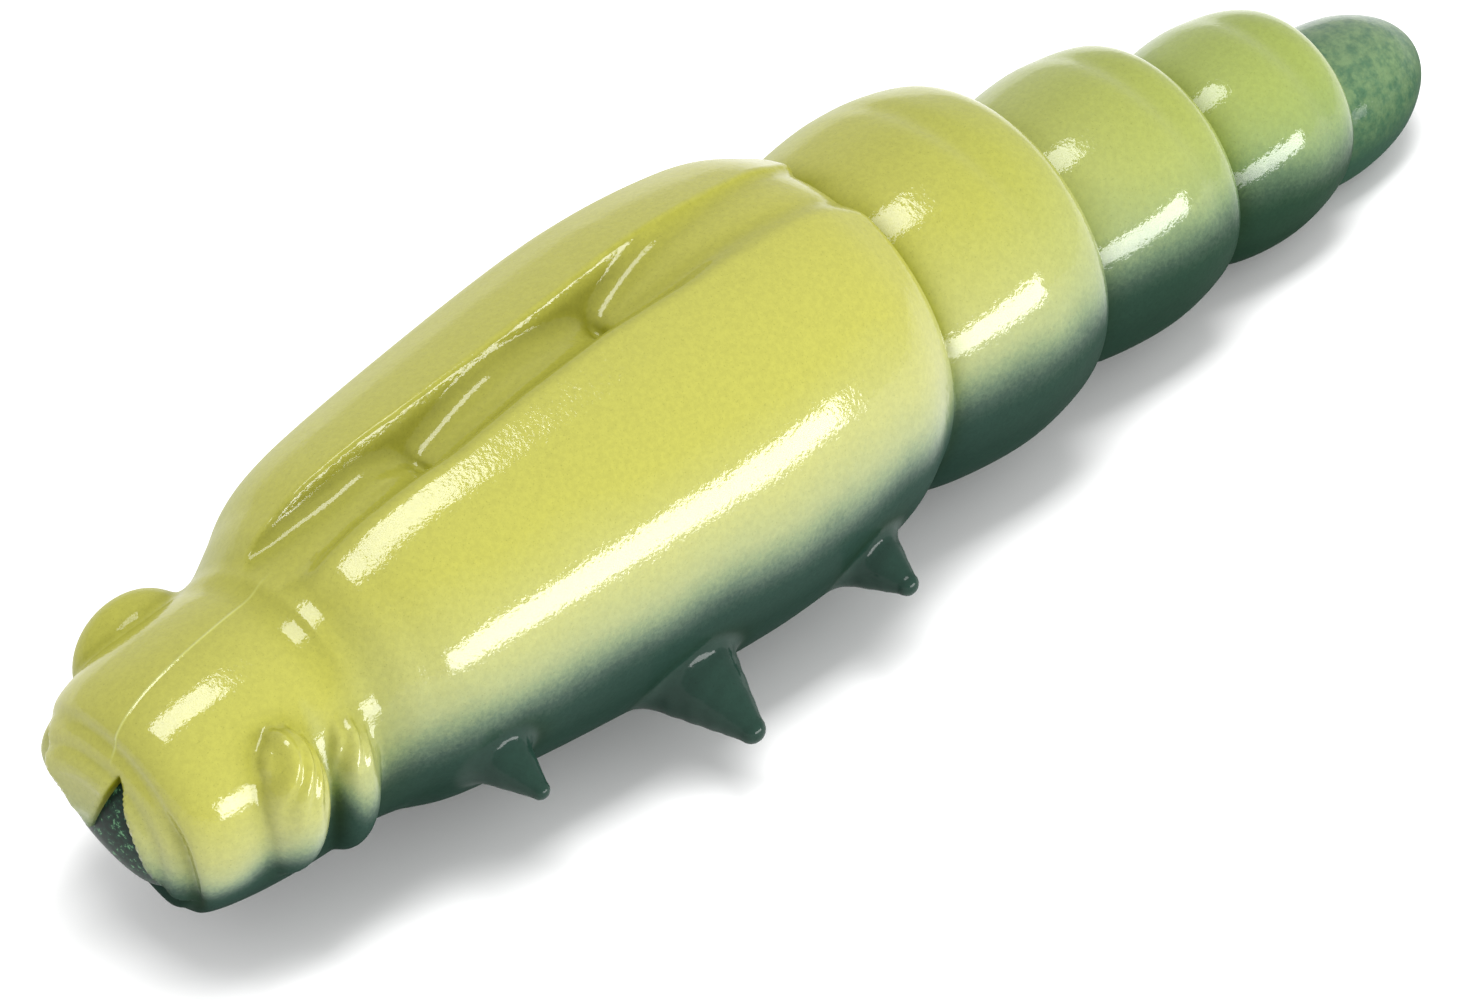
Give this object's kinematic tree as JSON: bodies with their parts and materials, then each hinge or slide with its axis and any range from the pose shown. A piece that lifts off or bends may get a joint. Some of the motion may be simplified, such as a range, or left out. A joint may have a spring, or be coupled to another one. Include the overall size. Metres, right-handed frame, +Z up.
{
  "type": "soft plastic fishing lure",
  "caption": "Soft plastic larva-shaped bait with a round-eyed head, wing-cased thorax, short spike legs and tapering abdomen segments that flex at their grooves.",
  "frame": {"origin": "on the surface the bait rests on, under the middle of its bounding box", "axes": "+X from the nose to the tail, +Z up through the back, Y across with the bait's left side at -Y"},
  "size_m": [0.045, 0.0136, 0.0107],
  "materials": {
    "lime_back": "glossy, slightly translucent",
    "green_belly": "glossy, slightly translucent",
    "wing_lime": "glossy, slightly translucent",
    "eye_lime": "glossy, slightly translucent",
    "mouth_green": "glossy, speckled",
    "leg_green": "glossy",
    "tail_green": "satin, speckled",
    "web_green": "glossy, slightly translucent"
  },
  "bodies": {
    "thorax": {"thorax_back": "lime_back", "thorax_belly": "green_belly", "left_wing_case": "wing_lime", "right_wing_case": "wing_lime"},
    "neck": {"neck_web": "web_green"},
    "head": {"head_back": "lime_back", "head_belly": "green_belly", "mouth_core": "mouth_green", "left_eye": "eye_lime", "right_eye": "eye_lime"},
    "waist_1": {"waist_web_1": "web_green"},
    "segment_1": {"segment_1_back": "lime_back", "segment_1_belly": "green_belly"},
    "waist_2": {"waist_web_2": "web_green"},
    "segment_2": {"segment_2_back": "lime_back", "segment_2_belly": "green_belly"},
    "waist_3": {"waist_web_3": "web_green"},
    "segment_3": {"segment_3_back": "lime_back", "segment_3_belly": "green_belly"},
    "tail_waist": {"tail_web": "web_green"},
    "tail": {"tail_tip": "tail_green"},
    "left_front_leg": {"left_front_leg": "leg_green"},
    "right_front_leg": {"right_front_leg": "leg_green"},
    "left_middle_leg": {"left_middle_leg": "leg_green"},
    "right_middle_leg": {"right_middle_leg": "leg_green"},
    "left_rear_leg": {"left_rear_leg": "leg_green"},
    "right_rear_leg": {"right_rear_leg": "leg_green"}
  },
  "joints": [
    {"name": "head_lift", "type": "hinge", "parent": "thorax", "child": "neck", "pos_m": [-0.016, 0, 0.0049], "axis": [0, 1, 0], "range_deg": [-15, 15], "stiffness_Nm_per_rad": 0.006},
    {"name": "head_turn", "type": "hinge", "parent": "neck", "child": "head", "pos_m": [-0.016, 0, 0.0049], "axis": [0, 0, 1], "range_deg": [-15, 15], "stiffness_Nm_per_rad": 0.006},
    {"name": "segment_1_lift", "type": "hinge", "parent": "thorax", "child": "waist_1", "pos_m": [0.0018, 0, 0.00485], "axis": [0, 1, 0], "range_deg": [-15, 15], "stiffness_Nm_per_rad": 0.012},
    {"name": "segment_1_turn", "type": "hinge", "parent": "waist_1", "child": "segment_1", "pos_m": [0.0018, 0, 0.00485], "axis": [0, 0, 1], "range_deg": [-15, 15], "stiffness_Nm_per_rad": 0.012},
    {"name": "segment_2_lift", "type": "hinge", "parent": "segment_1", "child": "waist_2", "pos_m": [0.0077, 0, 0.0039], "axis": [0, 1, 0], "range_deg": [-15, 15], "stiffness_Nm_per_rad": 0.006},
    {"name": "segment_2_turn", "type": "hinge", "parent": "waist_2", "child": "segment_2", "pos_m": [0.0077, 0, 0.0039], "axis": [0, 0, 1], "range_deg": [-15, 15], "stiffness_Nm_per_rad": 0.006},
    {"name": "segment_3_lift", "type": "hinge", "parent": "segment_2", "child": "waist_3", "pos_m": [0.0134, 0, 0.003], "axis": [0, 1, 0], "range_deg": [-15, 15], "stiffness_Nm_per_rad": 0.0025},
    {"name": "segment_3_turn", "type": "hinge", "parent": "waist_3", "child": "segment_3", "pos_m": [0.0134, 0, 0.003], "axis": [0, 0, 1], "range_deg": [-15, 15], "stiffness_Nm_per_rad": 0.0025},
    {"name": "tail_lift", "type": "hinge", "parent": "segment_3", "child": "tail_waist", "pos_m": [0.0183, 0, 0.002], "axis": [0, 1, 0], "range_deg": [-15, 15], "stiffness_Nm_per_rad": 0.0008},
    {"name": "tail_turn", "type": "hinge", "parent": "tail_waist", "child": "tail", "pos_m": [0.0183, 0, 0.002], "axis": [0, 0, 1], "range_deg": [-15, 15], "stiffness_Nm_per_rad": 0.0008},
    {"name": "left_front_leg_sweep", "type": "hinge", "parent": "thorax", "child": "left_front_leg", "pos_m": [-0.0134, -0.00406, 0.00368], "axis": [0, 0, 1], "range_deg": [-25, 25], "stiffness_Nm_per_rad": 0.00005},
    {"name": "right_front_leg_sweep", "type": "hinge", "parent": "thorax", "child": "right_front_leg", "pos_m": [-0.0134, 0.00406, 0.00368], "axis": [0, 0, 1], "range_deg": [-25, 25], "stiffness_Nm_per_rad": 0.00005},
    {"name": "left_middle_leg_sweep", "type": "hinge", "parent": "thorax", "child": "left_middle_leg", "pos_m": [-0.0072, -0.00416, 0.00264], "axis": [0, 0, 1], "range_deg": [-25, 25], "stiffness_Nm_per_rad": 0.0003},
    {"name": "right_middle_leg_sweep", "type": "hinge", "parent": "thorax", "child": "right_middle_leg", "pos_m": [-0.0072, 0.00416, 0.00264], "axis": [0, 0, 1], "range_deg": [-25, 25], "stiffness_Nm_per_rad": 0.0003},
    {"name": "left_rear_leg_sweep", "type": "hinge", "parent": "thorax", "child": "left_rear_leg", "pos_m": [-0.0014, -0.00444, 0.00283], "axis": [0, 0, 1], "range_deg": [-25, 25], "stiffness_Nm_per_rad": 0.00008},
    {"name": "right_rear_leg_sweep", "type": "hinge", "parent": "thorax", "child": "right_rear_leg", "pos_m": [-0.0014, 0.00444, 0.00283], "axis": [0, 0, 1], "range_deg": [-25, 25], "stiffness_Nm_per_rad": 0.00008}
  ]
}
